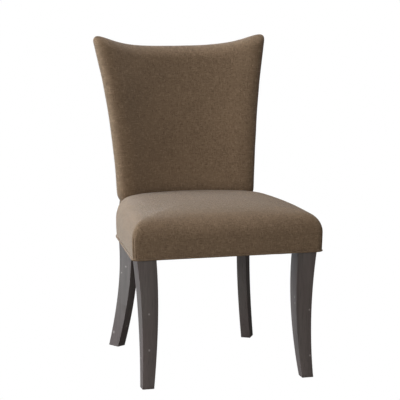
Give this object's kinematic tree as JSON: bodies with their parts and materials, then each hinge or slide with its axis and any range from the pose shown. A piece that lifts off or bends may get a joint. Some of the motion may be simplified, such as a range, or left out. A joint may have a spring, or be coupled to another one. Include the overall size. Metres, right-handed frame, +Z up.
{
  "type": "parsons chair",
  "caption": "Fully upholstered dining side chair with a curved, raised-corner back, boxed crowned seat and four swept square wooden legs.",
  "frame": {"origin": "on the floor under the middle of the chair's bounding box", "axes": "+Z up, the chair faces -Y, +X to the right as seen from the front"},
  "size_m": [0.5808, 0.6709, 1],
  "materials": {
    "leg_finish": "grey-brown stained hardwood, satin, light distress marks",
    "frame_hardwood": "planed hardwood, unfinished",
    "plywood": "bent plywood, unfinished",
    "fibreboard": "hardboard, smooth",
    "upholstery": "taupe-brown woven chenille, soft sheen",
    "foam": "polyurethane foam",
    "batting": "polyester wadding",
    "webbing": "elastic webbing",
    "deck_cloth": "woven base cloth",
    "dust_cloth": "black non-woven cloth",
    "steel_fasteners": "zinc-plated steel",
    "glide_plastic": "dark nylon"
  },
  "bodies": {
    "root": {"back_batting": "batting", "back_cover": "upholstery", "back_foam": "foam", "corner_block_front_left": "frame_hardwood", "corner_block_front_right": "frame_hardwood", "corner_block_rear_left": "frame_hardwood", "corner_block_rear_right": "frame_hardwood", "corner_block_screws": "steel_fasteners", "crest_rail": "frame_hardwood", "dust_cover": "dust_cloth", "dust_cover_staples": "steel_fasteners", "foot_glides": "glide_plastic", "frame_dowels": "frame_hardwood", "front_leg_left": "leg_finish", "front_leg_right": "leg_finish", "front_rail": "frame_hardwood", "inner_back_panel": "plywood", "leg_bolt_nuts": "steel_fasteners", "leg_bolt_washers": "steel_fasteners", "leg_bolts": "steel_fasteners", "lower_back_rail": "frame_hardwood", "outer_back_padding": "foam", "outer_back_panel": "fibreboard", "post_screws": "steel_fasteners", "rear_leg_left": "leg_finish", "rear_leg_right": "leg_finish", "rear_rail": "frame_hardwood", "seat_batting": "batting", "seat_cover": "upholstery", "seat_deck_cloth": "deck_cloth", "seat_foam": "foam", "seat_welt": "upholstery", "side_rail_left": "frame_hardwood", "side_rail_right": "frame_hardwood", "webbing_front_to_back": "webbing", "webbing_side_to_side": "webbing", "webbing_tacks": "steel_fasteners"}
  },
  "joints": []
}
